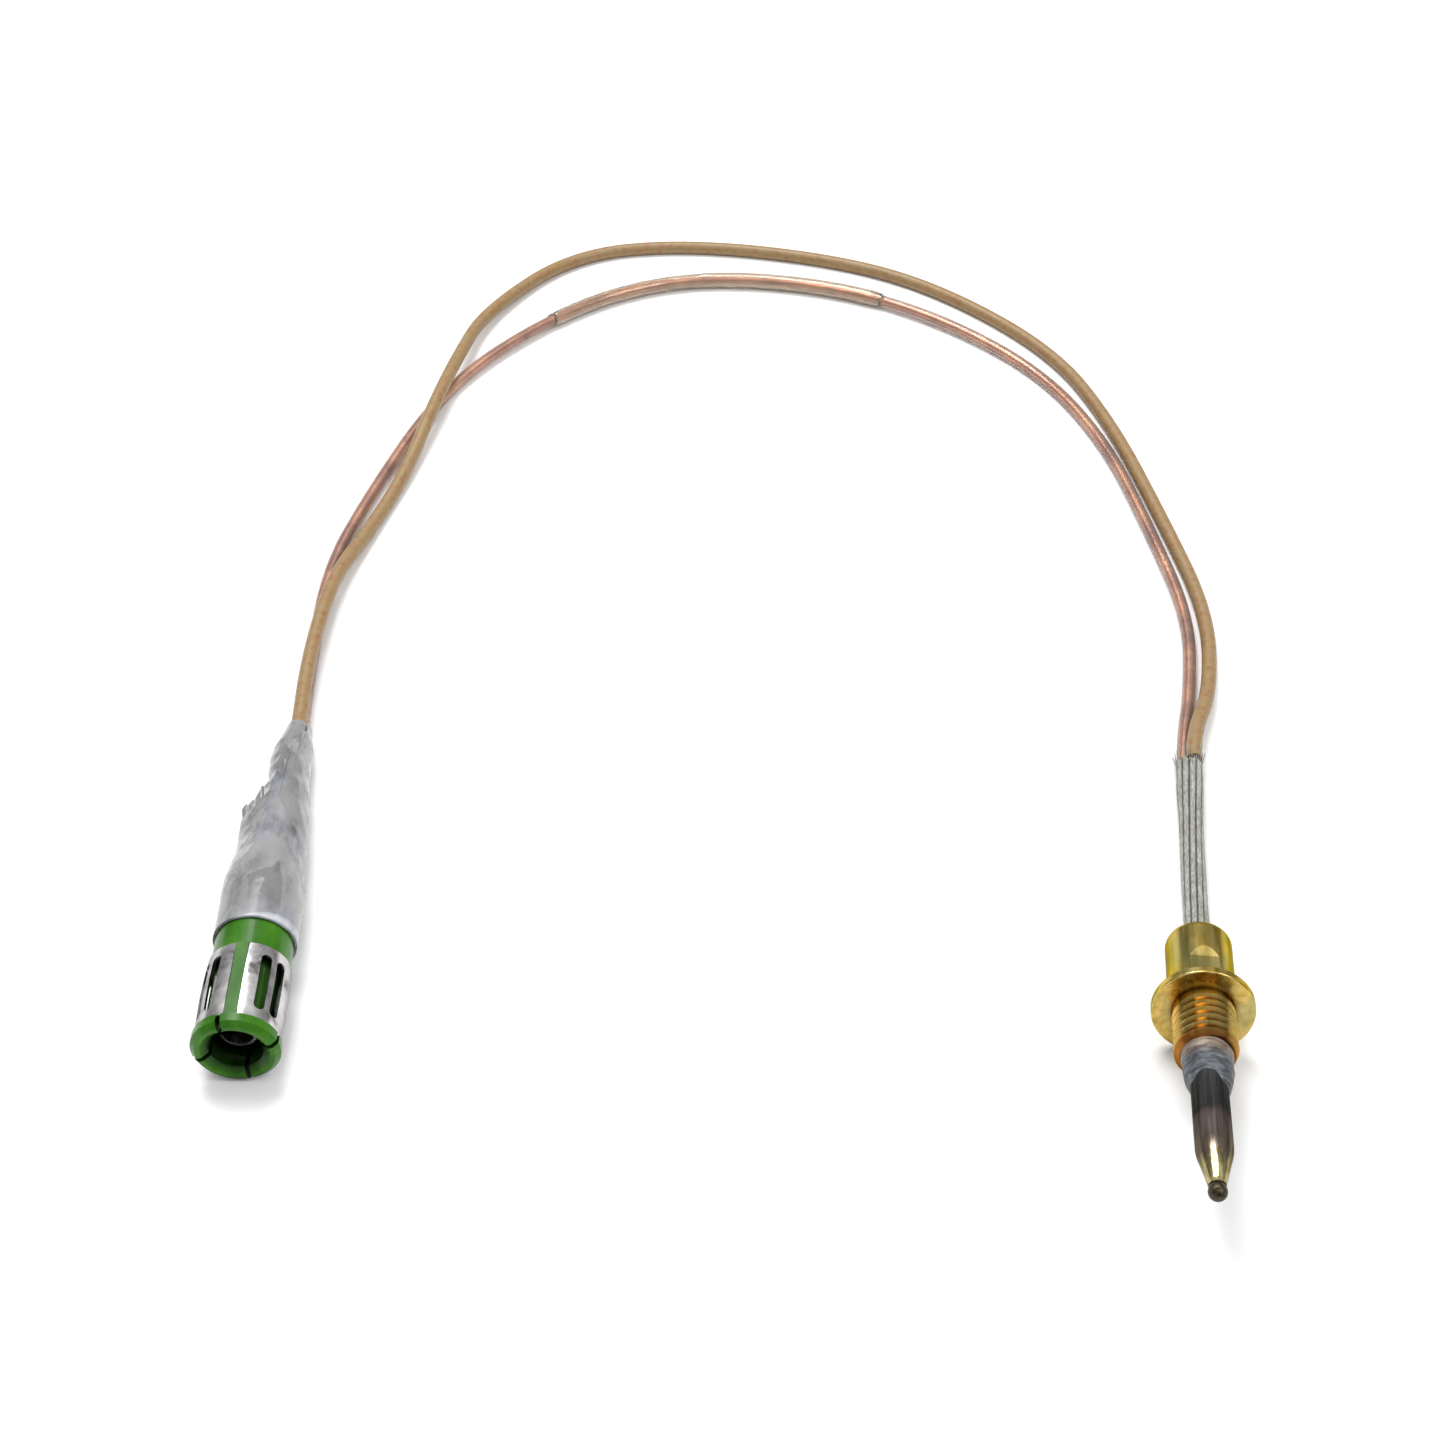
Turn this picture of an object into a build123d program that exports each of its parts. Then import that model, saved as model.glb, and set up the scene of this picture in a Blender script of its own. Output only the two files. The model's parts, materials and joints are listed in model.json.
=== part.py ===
from build123d import *
from math import atan2, cos, degrees, pi, radians, sin, tan
import os

# Gas hob thermocouple with two free leads and a coaxial push-in plug.
#
# Frame: +Z up. The origin is where the probe's axis meets the seating face of the brass flange.
# The probe points along -Y with its tip raised, because it lies on the flange rim and on the rear
# edge of the barrel. The leads run back along +Y, arch over to -X and come back to the plug.
# All sizes are in millimetres.

# ---- driving dimensions: probe, stations measured along its axis from the flange seat ----
flange_radius = 4.9
flange_thick = 0.9
barrel_radius = 3.25
barrel_length = 9.4
barrel_fillet = 0.8            # rounding of the barrel's rear edge
rim_fillet = 0.15              # rounding of the flange's rim
flat_half_width = 2.95         # wrench flats, 5.9 mm across
flat_length = 4.0
flat_slope = 1.6               # run of the slope at a flat's rear end
flat_margin = 0.1              # height of the cutter above the barrel
thread_radius = 3.0            # M6 x 1
thread_pitch = 1.0
thread_depth = 0.6
thread_length = 6.3
thread_runout = 0.7            # plain stretch beside the flange, where the groove runs out
thread_chamfer = 0.35
groove_root_half = 0.08        # half width of the groove at its root
groove_crest_half = 0.46       # half width of the groove just outside the crests
groove_overrun = 0.4           # run of the groove past the stub's end
groove_least = 20.0            # volume that the groove has to take away, at the least
seam_turn = 137.0              # keeps the revolved body's seam clear of the helix's start
groove_clearance = 0.05        # height of the cutter above the crests
tube_radius = 1.72
tube_bore = 1.3
taper_start = 18.6
tube_end = 23.4
tube_mouth = 0.82
shoulder_length = 1.6          # rounded start of the taper
shoulder_drop = 0.24
lip_length = 0.4
lip_step = 0.04
throat_length = 1.5            # narrow end of the bore, where the core wire fills it
throat_lead = 1.0
bead_radius = 0.88
bead_centre = 24.05
core_radius = 0.45
core_start = -1.9
insulator_start = -0.2
insulator_end = 18.0
insulator_clearance = 0.05
braze_length = 4.8
braze_steps = ((0.0, 2.45), (1.7, 2.3), (3.1, 2.2), (4.2, 1.9))  # distance past the stub, radius
lead_cavity_end = -7.3         # drilled from the front, holds the two joints
barrel_back = -(flange_thick + barrel_length)

# ---- driving dimensions: the two joints in the barrel ----
ferrule_radius = 0.72
ferrule_back = -3.2
ferrule_length = 2.6
joint_tube_radius = 0.86
joint_tube_back = -3.6
joint_tube_length = 3.3
copper_joint_back = -3.0
copper_joint_length = 1.4
copper_joint_radius = 0.75
copper_joint_hold = 1.2        # length of the conductor held in the solder
copper_joint_gap = 0.02        # from the joint insulator
copper_side = -0.75            # where the copper lead meets the bore
copper_up = -1.06

# ---- driving dimensions: leads and sleeves ----
wire_radius = 0.4
wire_clearance = 0.02
yellow_radius = 0.83
copper_radius = 0.75
sleeve_radius = 1.3
sleeve_bore = 0.95
sleeve_flare_radius = 1.58
sleeve_flare_bore = 1.3
sleeve_height = 1.6            # centre line above the table
sleeve_mouth = 37.5            # Y of the open end
sleeve_flare_start = 29.0
sleeve_flare_end = 34.5
guard_radius = 1.05

# ---- driving dimensions: plug, stations measured along its axis from the nose face ----
plug_nose_x = -89.7
plug_nose_y = -14.6
plug_yaw = 6.5
nose_radius = 4.25
nose_length = 1.4
nose_bore = 2.6
nose_bevel = 0.5
mouth_bevel = 0.7
mouth_depth = 0.6
seat_radius = 3.75
collar_radius = 3.8
collar_front = -10.35
skirt_radius = 3.4
skirt_front = -15.4
housing_back = -16.5
web_front = -7.5
web_back = -11.3
rear_cavity_radius = 2.9
petal_angle = 16.0
petal_slit = 0.5
petal_slit_depth = 4.5
petal_thick = 2.4              # radial width of the cutter for the slits
relief_radius = 3.3            # room under the shell, so that it can spring inwards
relief_front = -2.3
relief_back = -9.4
rib_root = 3.15                # the rib stands in the shell's gap
rib_top = 4.05
rib_clearance = 0.1
shell_thick = 0.25
shell_front = -1.45
shell_back = -10.3
shell_bulge = 0.15
shell_gap_angle = 92.0
shell_gap = 1.3
slot_length = 6.6
slot_width = 1.1
slot_offsets = (36, 60, 108, 132)
slot_cut = 1.5
tongue_width = 1.6
tongue_drop = 2.35             # inner face of the tongue below the axis
tongue_end = -14.5
tongue_clearance = 0.1         # of its way through the collar and the web
tongue_way_height = 0.6
tongue_way_depth = 0.45
tongue_overlap = 0.01
contact_radius = 1.8
contact_bore = 1.5
contact_front = -2.4
contact_back = -11.8
cup_radius = 0.8
cup_end = -14.0
cup_depth = 0.6
socket_floor = 0.5
socket_split = 0.4
socket_split_depth = 4.5
solder_length = 0.7
shell_joint_station = -13.4
shell_joint_radius = 0.95
shell_joint_rise = 0.05
shell_joint_bore = 3.0

# ---- derived frames ----
tilt = degrees(atan2(flange_radius - barrel_radius, barrel_length))
tilt_cos = cos(radians(tilt))
tilt_sin = sin(radians(tilt))
table_z = -(flange_radius * tilt_cos + flange_thick * tilt_sin)

probe_dir = Vector(0, -tilt_cos, tilt_sin)
probe_plane = Plane(origin=(0, 0, 0), x_dir=(1, 0, 0), z_dir=probe_dir)
probe_axis = Axis((0, 0, 0), probe_dir)
# in the profile planes, sketch X runs along the axis and sketch Y is the radius
body_profile = Plane(
    origin=(0, 0, 0),
    x_dir=probe_dir,
    z_dir=Vector(-1, 0, 0).rotate(probe_axis, seam_turn),
)
probe_profile = Plane(origin=(0, 0, 0), x_dir=probe_dir, z_dir=(-1, 0, 0))

yaw_cos = cos(radians(plug_yaw))
yaw_sin = sin(radians(plug_yaw))
plug_origin = Vector(plug_nose_x, plug_nose_y, table_z + nose_radius)
plug_dir = Vector(yaw_sin, -yaw_cos, 0)
plug_side = Vector(yaw_cos, yaw_sin, 0)
plug_plane = Plane(origin=plug_origin, x_dir=plug_side, z_dir=plug_dir)
plug_axis = Axis(plug_origin, plug_dir)
plug_profile = Plane(origin=plug_origin, x_dir=plug_dir, z_dir=-plug_side)

along = (Align.CENTER, Align.CENTER, Align.MIN)


def in_probe(side, up, station):
    """Point given in the probe's own frame."""
    return probe_plane.from_local_coords((side, up, station))


def in_plug(side, height, station):
    """Point beside the plug's axis, at a height above the table."""
    return plug_plane.from_local_coords((side, height - nose_radius, station))


def above_table(x, y, height):
    """Point at a height above the table."""
    return Vector(x, y, table_z + height)


def bend_radii(points):
    """Radius of each corner, as large as the shorter of its two runs allows."""
    radii = []
    for before, corner, after in zip(points, points[1:], points[2:]):
        run_in = corner - before
        run_out = after - corner
        half_turn = radians(run_in.get_angle(run_out) / 2)
        radii.append(0.45 * min(run_in.length, run_out.length) / tan(half_turn))
    return radii


def stretch(points, radii, first, last):
    """Part of a route from the middle of run number first to the middle of run number last."""
    start = (points[first] + points[first + 1]) / 2
    end = (points[last] + points[last + 1]) / 2
    return [start] + points[first + 1:last + 1] + [end], radii[first:last]


# ---- routes ----
# the glass-fibre sleeve: out of the barrel, down to the table and along it
rear_height = barrel_back * tilt_sin - table_z
sleeve_knee_y = 14.5
sleeve_foot_y = 24.0
barrel_back_y = -barrel_back * tilt_cos
sleeve_knee_height = rear_height - (sleeve_knee_y - barrel_back_y) * tan(radians(tilt))
sleeve_route = [
    in_probe(0, 0, lead_cavity_end),
    above_table(0, sleeve_knee_y, sleeve_knee_height),
    above_table(0, sleeve_foot_y, sleeve_height),
    above_table(0, sleeve_mouth, sleeve_height),
]

# the two leads lie diagonally, one over the other, in the sleeve and out of its mouth
wire_side, wire_up = 0.26, 0.37
jacket_side, jacket_up = 0.46, 0.66
jacket_run = 6                 # the run that crosses the mouth of the white sleeve

yellow_route = [
    in_probe(0, 0, -1.9),
    in_probe(0, 0, -4.2),
    in_probe(wire_side, wire_up, -7.9),
    above_table(wire_side, sleeve_knee_y, sleeve_knee_height + wire_up),
    above_table(wire_side, sleeve_foot_y, sleeve_height + wire_up),
    above_table(wire_side, 29.5, sleeve_height + wire_up),
    above_table(jacket_side, 33.5, sleeve_height + jacket_up),
    above_table(jacket_side, 41.5, sleeve_height + jacket_up),
    above_table(2.7, 49.5, 1.3),
    above_table(2.8, 63.5, yellow_radius),
    above_table(-2.2, 80.5, yellow_radius),
    above_table(-8.0, 98.5, yellow_radius),
    above_table(-15.5, 113.5, yellow_radius),
    above_table(-31.0, 126.5, yellow_radius),
    above_table(-45.5, 132.0, yellow_radius),
    above_table(-66.0, 133.5, yellow_radius),
    above_table(-81.0, 129.0, yellow_radius),
    above_table(-90.0, 113.5, 1.3),
    above_table(-91.2, 101.0, 2.7),
    above_table(-92.2, 90.0, 2.7),
    above_table(-93.4, 78.0, 1.0),
    above_table(-95.4, 67.0, 0.9),
    above_table(-97.0, 57.5, 2.2),
    above_table(-96.9, 48.5, 2.6),
    above_table(-96.2, 39.5, 2.6),
    in_plug(0, 2.72, -46.0),
    in_plug(0, 3.1, -36.0),
    in_plug(0, 3.8, -27.0),
    in_plug(0, nose_radius, -20.0),
    in_plug(0, nose_radius, -12.6),
]
copper_route = [
    in_probe(copper_side, copper_up, -1.8),
    in_probe(copper_side, copper_up, -4.2),
    in_probe(-wire_side, -wire_up, -7.9),
    above_table(-wire_side, sleeve_knee_y, sleeve_knee_height - wire_up),
    above_table(-wire_side, sleeve_foot_y, sleeve_height - wire_up),
    above_table(-wire_side, 29.5, sleeve_height - wire_up),
    above_table(-jacket_side, 33.5, sleeve_height - jacket_up),
    above_table(-jacket_side, 41.5, sleeve_height - jacket_up),
    above_table(0.5, 49.5, copper_radius),
    above_table(0.7, 62.5, copper_radius),
    above_table(-3.7, 78.5, copper_radius),
    above_table(-8.7, 94.5, copper_radius),
    above_table(-16.7, 108.5, copper_radius),
    above_table(-30.0, 119.0, guard_radius),
    above_table(-44.5, 125.0, guard_radius),
    above_table(-62.5, 125.5, guard_radius),
    above_table(-76.0, 119.0, guard_radius),
    above_table(-87.5, 105.0, guard_radius),
    above_table(-93.3, 92.0, copper_radius),
    above_table(-96.8, 74.0, copper_radius),
    above_table(-98.7, 59.5, copper_radius),
    above_table(-96.6, 42.5, copper_radius),
    in_plug(0, 1.1, -46.0),
    in_plug(0, 1.35, -36.0),
    in_plug(0, 1.9, -27.0),
    in_plug(0, nose_radius - tongue_drop + wire_radius, -20.0),
    in_plug(0, nose_radius - tongue_drop + wire_radius, -12.6),
]
guard_runs = (13, 16)          # the runs of the copper lead where the guard sleeve starts and ends

os.makedirs("parts", exist_ok=True)


def finish(piece, name):
    """Label a piece and write it to its own file."""
    piece.part.label = name
    export_step(piece.part, f"parts/{name}.step")


# ---- brass body: turned barrel, flange and threaded stub in one piece ----
with BuildPart() as brass_body:
    with BuildSketch(body_profile):
        with BuildLine():
            Polyline(
                (barrel_back, sleeve_radius),
                (barrel_back, barrel_radius),
                (-flange_thick, barrel_radius),
                (-flange_thick, flange_radius),
                (0, flange_radius),
                (0, thread_radius),
                (thread_length - thread_chamfer, thread_radius),
                (thread_length, thread_radius - thread_chamfer),
                (thread_length, tube_radius),
                (lead_cavity_end, tube_radius),
                (lead_cavity_end, sleeve_radius),
                close=True,
            )
        make_face()
    revolve(axis=probe_axis)
    barrel_edges = brass_body.edges().filter_by(GeomType.CIRCLE).filter_by(
        lambda edge: abs(edge.radius - barrel_radius) < 0.01
    )
    fillet(barrel_edges.sort_by(probe_axis)[0], barrel_fillet)
    rim_edges = brass_body.edges().filter_by(GeomType.CIRCLE).filter_by(
        lambda edge: abs(edge.radius - flange_radius) < 0.01
    )
    fillet(rim_edges, rim_fillet)
    # two wrench flats beside the flange, above and below, each sloping out at its rear end
    flat_back = -flange_thick - flat_length
    for side in (1, -1):
        with BuildSketch(probe_profile):
            with BuildLine():
                Polyline(
                    (-flange_thick, side * flat_half_width),
                    (flat_back, side * flat_half_width),
                    (flat_back - flat_slope, side * (barrel_radius + flat_margin)),
                    (-flange_thick, side * (barrel_radius + flat_margin)),
                    close=True,
                )
            make_face()
        extrude(amount=barrel_radius, both=True, mode=Mode.SUBTRACT)
    # the thread: one right-hand helical groove
    blank_volume = brass_body.part.volume
    groove_start = in_probe(0, 0, thread_runout)
    with BuildLine() as groove_path:
        Helix(
            pitch=thread_pitch,
            height=thread_length - thread_runout + groove_overrun,
            radius=thread_radius,
            center=groove_start,
            direction=probe_dir,
        )
    groove_mouth = groove_path.line @ 0
    groove_plane = Plane(
        origin=groove_mouth,
        x_dir=groove_mouth - groove_start,
        z_dir=groove_path.line % 0,
    )
    with BuildSketch(groove_plane):
        with BuildLine():
            Polyline(
                (-thread_depth, -groove_root_half),
                (-thread_depth, groove_root_half),
                (groove_clearance, groove_crest_half),
                (groove_clearance, -groove_crest_half),
                close=True,
            )
        make_face()
    sweep(path=groove_path.line, is_frenet=True, mode=Mode.SUBTRACT)
groove_volume = blank_volume - brass_body.part.volume
print(f"thread groove takes away {groove_volume:.1f} cubic millimetres")
if groove_volume < groove_least:
    raise ValueError("the thread's groove wasn't cut")
finish(brass_body, "brass_body")

# ---- sensor tube: drawn metal tube brazed into the stub, swaged down at the hot end ----
with BuildPart() as sensor_tube:
    with BuildSketch(probe_profile):
        with BuildLine():
            wall = Polyline((0, tube_bore), (0, tube_radius), (taper_start, tube_radius))
            shoulder_end = (taper_start + shoulder_length, tube_radius - shoulder_drop)
            shoulder = TangentArc(wall @ 1, shoulder_end, tangent=(1, 0))
            cone = Line(shoulder @ 1, (tube_end - lip_length, tube_mouth + lip_step))
            lip = Polyline(cone @ 1, (tube_end, tube_mouth), (tube_end, core_radius))
            throat = Polyline(
                lip @ 1,
                (tube_end - throat_length, core_radius),
                (taper_start + throat_lead, tube_bore),
            )
            Line(throat @ 1, wall @ 0)
        make_face()
    revolve(axis=probe_axis)
finish(sensor_tube, "sensor_tube")

# ---- hot junction: weld bead closing the tube's mouth over the core wire ----
with BuildPart(probe_plane.offset(bead_centre)) as hot_junction_bead:
    Sphere(bead_radius)
    split(bisect_by=probe_plane.offset(tube_end), keep=Keep.TOP)
finish(hot_junction_bead, "hot_junction_bead")

# ---- core wire: the second alloy, up the middle of the tube to the bead ----
with BuildPart(probe_plane.offset(core_start)) as core_wire:
    Cylinder(core_radius, tube_end - core_start, align=along)
finish(core_wire, "core_wire")

# ---- core insulator: braided glass sleeve between the core wire and the tube ----
with BuildPart(probe_plane.offset(insulator_start)) as core_insulator:
    Cylinder(tube_bore - insulator_clearance, insulator_end - insulator_start, align=along)
    Cylinder(core_radius, insulator_end - insulator_start, align=along, mode=Mode.SUBTRACT)
finish(core_insulator, "core_insulator")

# ---- braze collar: filler run round the tube where it leaves the stub ----
with BuildPart() as braze_collar:
    with BuildSketch(probe_profile):
        with BuildLine():
            Polyline(
                (thread_length, tube_radius),
                *[(thread_length + past, radius) for past, radius in braze_steps],
                (thread_length + braze_length, tube_radius),
                close=True,
            )
        make_face()
    revolve(axis=probe_axis)
finish(braze_collar, "braze_collar")

# ---- core joint: crimped ferrule, core wire in front and the yellow lead's conductor behind ----
with BuildPart(probe_plane.offset(ferrule_back)) as core_joint_ferrule:
    Cylinder(ferrule_radius, ferrule_length, align=along)
    Cylinder(core_radius, ferrule_length, align=along, mode=Mode.SUBTRACT)
finish(core_joint_ferrule, "core_joint_ferrule")

# ---- joint insulator: tube that keeps the ferrule off the brass body and the copper lead ----
with BuildPart(probe_plane.offset(joint_tube_back)) as joint_insulator:
    Cylinder(joint_tube_radius, joint_tube_length, align=along)
    Cylinder(ferrule_radius, joint_tube_length, align=along, mode=Mode.SUBTRACT)
finish(joint_insulator, "joint_insulator")

# ---- copper joint: solder that bonds the copper lead's conductor to the body's bore ----
with BuildPart(probe_plane.offset(copper_joint_back)) as copper_lead_joint:
    Cylinder(tube_radius, copper_joint_length, align=along)
    with Locations((copper_side, copper_up, 0)):
        Cylinder(copper_joint_radius, copper_joint_length, align=along, mode=Mode.INTERSECT)
        Cylinder(wire_radius, copper_joint_hold, align=along, mode=Mode.SUBTRACT)
    tube_keepout = joint_tube_radius + copper_joint_gap
    Cylinder(tube_keepout, copper_joint_length, align=along, mode=Mode.SUBTRACT)
finish(copper_lead_joint, "copper_lead_joint")


def swept_tube(points, radii, radius, bore=0.0):
    """Tube along straight runs joined by tangent arcs; reports its tightest bend and its volume."""
    with BuildPart() as tube:
        with BuildLine() as path:
            FilletPolyline(points, radius=radii)
        route = path.wire()
        with BuildSketch(Plane(origin=route @ 0, z_dir=route % 0)):
            Circle(radius)
            if bore:
                Circle(bore, mode=Mode.SUBTRACT)
        sweep(path=route)
    length = route.length
    expected = length * pi * (radius**2 - bore**2)
    print(f"  length {length:.1f}, radii {[round(r, 1) for r in radii]}")
    print(f"  volume {tube.part.volume:.2f}, section x length {expected:.2f}")
    return tube


# ---- white glass-fibre sleeve over the two conductors, with its open end spread ----
sleeve_radii = bend_radii(sleeve_route)
print("glass_fibre_sleeve")
sleeve_route[-1] = above_table(0, sleeve_flare_start, sleeve_height)
sleeve_tube = swept_tube(sleeve_route, sleeve_radii, sleeve_radius, sleeve_bore)
flare_centre = (0, 0, table_z + sleeve_height)
with BuildPart() as glass_fibre_sleeve:
    add(sleeve_tube)
    with BuildSketch(Plane(origin=flare_centre, x_dir=(0, 1, 0), z_dir=(1, 0, 0))):
        with BuildLine():
            Polyline(
                (sleeve_flare_start, sleeve_bore),
                (sleeve_flare_start, sleeve_radius),
                (sleeve_flare_end, sleeve_flare_radius),
                (sleeve_mouth, sleeve_flare_radius),
                (sleeve_mouth, sleeve_flare_bore),
                (sleeve_flare_end, sleeve_flare_bore),
                close=True,
            )
        make_face()
    revolve(axis=Axis(flare_centre, (0, 1, 0)))
finish(glass_fibre_sleeve, "glass_fibre_sleeve")

# ---- yellow lead: conductor from joint to joint, varnished jacket between the sleeves ----
yellow_radii = bend_radii(yellow_route)
print("yellow_lead_conductor")
yellow_lead_conductor = swept_tube(yellow_route, yellow_radii, wire_radius)
finish(yellow_lead_conductor, "yellow_lead_conductor")

print("yellow_lead_insulation")
yellow_end_run = len(yellow_route) - 3
yellow_jacket = stretch(yellow_route, yellow_radii, jacket_run, yellow_end_run)
yellow_jacket[0][0] = above_table(jacket_side, sleeve_mouth, sleeve_height + jacket_up)
yellow_lead_insulation = swept_tube(*yellow_jacket, yellow_radius, wire_radius + wire_clearance)
finish(yellow_lead_insulation, "yellow_lead_insulation")

# ---- copper lead: conductor, clear sheath, and a loose guard sleeve at the top of the arch ----
copper_radii = bend_radii(copper_route)
print("copper_lead_conductor")
copper_lead_conductor = swept_tube(copper_route, copper_radii, wire_radius)
finish(copper_lead_conductor, "copper_lead_conductor")

print("copper_lead_sheath")
copper_end_run = len(copper_route) - 3
copper_jacket = stretch(copper_route, copper_radii, jacket_run, copper_end_run)
copper_jacket[0][0] = above_table(-jacket_side, sleeve_mouth, sleeve_height - jacket_up)
copper_lead_sheath = swept_tube(*copper_jacket, copper_radius, wire_radius + wire_clearance)
finish(copper_lead_sheath, "copper_lead_sheath")

print("clear_guard_sleeve")
guard = stretch(copper_route, copper_radii, *guard_runs)
clear_guard_sleeve = swept_tube(*guard, guard_radius, copper_radius + wire_clearance)
finish(clear_guard_sleeve, "clear_guard_sleeve")

# ---- clear plastic sleeve over the plug's rear and the leads ----
# half width, half height and centre height above the table at each station behind the nose
clear_wall = 0.2
clear_sections = (
    (-13.6, collar_radius + clear_wall, collar_radius + clear_wall, nose_radius),
    (-18.0, collar_radius + clear_wall, collar_radius + clear_wall, nose_radius),
    (-29.0, 3.1, 3.2, 3.5),
    (-38.0, 1.9, 2.5, 2.7),
    (-46.0, 1.2, 2.0, 2.05),
)


def oval_stack(inset):
    """Closed form through the clear sleeve's sections, drawn in by the inset."""
    with BuildPart() as form:
        for station, half_width, half_height, height in clear_sections:
            with BuildSketch(Plane(origin=in_plug(0, height, station), x_dir=plug_side, z_dir=plug_dir)):
                Ellipse(half_width - inset, half_height - inset)
        loft(ruled=True)
    return form.part


with BuildPart() as clear_sleeve:
    add(oval_stack(0))
    add(oval_stack(clear_wall), mode=Mode.SUBTRACT)
finish(clear_sleeve, "clear_sleeve")

# ---- connector housing: green moulded core, nose with four petals, collar and rear skirt ----
with BuildPart() as connector_housing:
    with BuildSketch(plug_profile):
        with BuildLine():
            Polyline(
                (housing_back, rear_cavity_radius),
                (housing_back, skirt_radius),
                (skirt_front, skirt_radius),
                (skirt_front, collar_radius),
                (collar_front, collar_radius),
                (collar_front, seat_radius),
                (relief_back, seat_radius),
                (relief_back, relief_radius),
                (relief_front, relief_radius),
                (relief_front, seat_radius),
                (-nose_length, seat_radius),
                (-nose_length, nose_radius),
                (-nose_bevel, nose_radius),
                (0, nose_radius - nose_bevel),
                (0, nose_bore + mouth_bevel),
                (-mouth_depth, nose_bore),
                (web_front, nose_bore),
                (web_front, contact_radius),
                (web_back, contact_radius),
                (web_back, rear_cavity_radius),
                close=True,
            )
        make_face()
    revolve(axis=plug_axis)
    # rib that stands in the shell's gap
    with BuildSketch(plug_plane.offset(collar_front)):
        with PolarLocations((rib_root + rib_top) / 2, 1, start_angle=shell_gap_angle):
            Rectangle(rib_top - rib_root, shell_gap - rib_clearance)
    extrude(amount=-collar_front - nose_length)
    # slits between the nose's four petals
    with BuildSketch(plug_plane):
        with PolarLocations(nose_bore + 1.0, 4, start_angle=petal_angle):
            Rectangle(petal_thick, petal_slit)
    extrude(amount=-petal_slit_depth, mode=Mode.SUBTRACT)
    # way through for the shell's tongue
    with BuildSketch(plug_plane.offset(collar_front - tongue_way_depth)):
        with Locations((0, -(tongue_drop + collar_radius) / 2)):
            Rectangle(tongue_width + tongue_clearance, collar_radius - tongue_drop + tongue_way_height)
    extrude(amount=tongue_way_depth + tongue_clearance, mode=Mode.SUBTRACT)
    with BuildSketch(plug_plane.offset(web_back - tongue_overlap)):
        with Locations((0, -tongue_drop - shell_thick / 2 - tongue_overlap)):
            Rectangle(tongue_width + tongue_clearance, shell_thick + tongue_clearance)
    extrude(amount=collar_front - web_back, mode=Mode.SUBTRACT)
finish(connector_housing, "connector_housing")

# ---- contact shell: slotted spring sleeve, open along the top, with a tongue underneath ----
shell_middle = (shell_front + shell_back) / 2
shell_span = shell_front - shell_back
with BuildPart() as contact_shell:
    with BuildSketch(plug_profile):
        with BuildLine():
            under = ThreePointArc(
                (shell_back, seat_radius),
                (shell_middle, seat_radius + shell_bulge),
                (shell_front, seat_radius),
            )
            over = ThreePointArc(
                (shell_back, seat_radius + shell_thick),
                (shell_middle, seat_radius + shell_bulge + shell_thick),
                (shell_front, seat_radius + shell_thick),
            )
            Line(under @ 0, over @ 0)
            Line(under @ 1, over @ 1)
        make_face()
    revolve(axis=plug_axis)
    with BuildSketch(plug_plane.offset(shell_back)):
        with PolarLocations(seat_radius, 1, start_angle=shell_gap_angle):
            Rectangle(2, shell_gap)
    extrude(amount=shell_span, mode=Mode.SUBTRACT)
    for offset_angle in slot_offsets:
        for angle in (shell_gap_angle + offset_angle, shell_gap_angle - offset_angle):
            outward = plug_side * cos(radians(angle)) + Vector(0, 0, 1) * sin(radians(angle))
            slot_centre = plug_origin + plug_dir * shell_middle + outward * (seat_radius - 0.5)
            with BuildSketch(Plane(origin=slot_centre, x_dir=plug_dir, z_dir=outward)):
                SlotOverall(slot_length, slot_width)
            extrude(amount=slot_cut, mode=Mode.SUBTRACT)
    # tongue: steps in through the collar and runs back beside the axis
    with BuildSketch(plug_plane.offset(shell_back - shell_thick)):
        with Locations((0, -(tongue_drop + seat_radius + shell_thick) / 2)):
            Rectangle(tongue_width, seat_radius + shell_thick - tongue_drop)
    extrude(amount=shell_thick)
    with BuildSketch(plug_plane.offset(tongue_end)):
        with Locations((0, -tongue_drop - shell_thick / 2)):
            Rectangle(tongue_width, shell_thick)
    extrude(amount=shell_back - shell_thick - tongue_end)
finish(contact_shell, "contact_shell")

# ---- centre contact: split socket held in the housing's web, with a solder cup behind ----
with BuildPart() as centre_contact:
    with BuildSketch(plug_profile):
        with BuildLine():
            Polyline(
                (contact_front, contact_bore),
                (contact_front, contact_radius),
                (contact_back, contact_radius),
                (contact_back, cup_radius),
                (cup_end, cup_radius),
                (cup_end, wire_radius + wire_clearance),
                (contact_back - cup_depth, wire_radius + wire_clearance),
                (contact_back - cup_depth, 0),
                (contact_back + socket_floor, 0),
                (contact_back + socket_floor, contact_bore),
                close=True,
            )
        make_face()
    revolve(axis=plug_axis)
    with BuildSketch(plug_plane.offset(contact_front)):
        Rectangle(3 * contact_radius, socket_split)
    extrude(amount=-socket_split_depth, mode=Mode.SUBTRACT)
finish(centre_contact, "centre_contact")

# ---- solder at the cup's mouth, round the yellow lead's conductor ----
with BuildPart() as centre_contact_solder:
    with BuildSketch(plug_profile):
        with BuildLine():
            Polyline(
                (cup_end, wire_radius + wire_clearance),
                (cup_end, cup_radius),
                (cup_end - solder_length, wire_radius + wire_clearance),
                close=True,
            )
        make_face()
    revolve(axis=plug_axis)
finish(centre_contact_solder, "centre_contact_solder")

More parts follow.
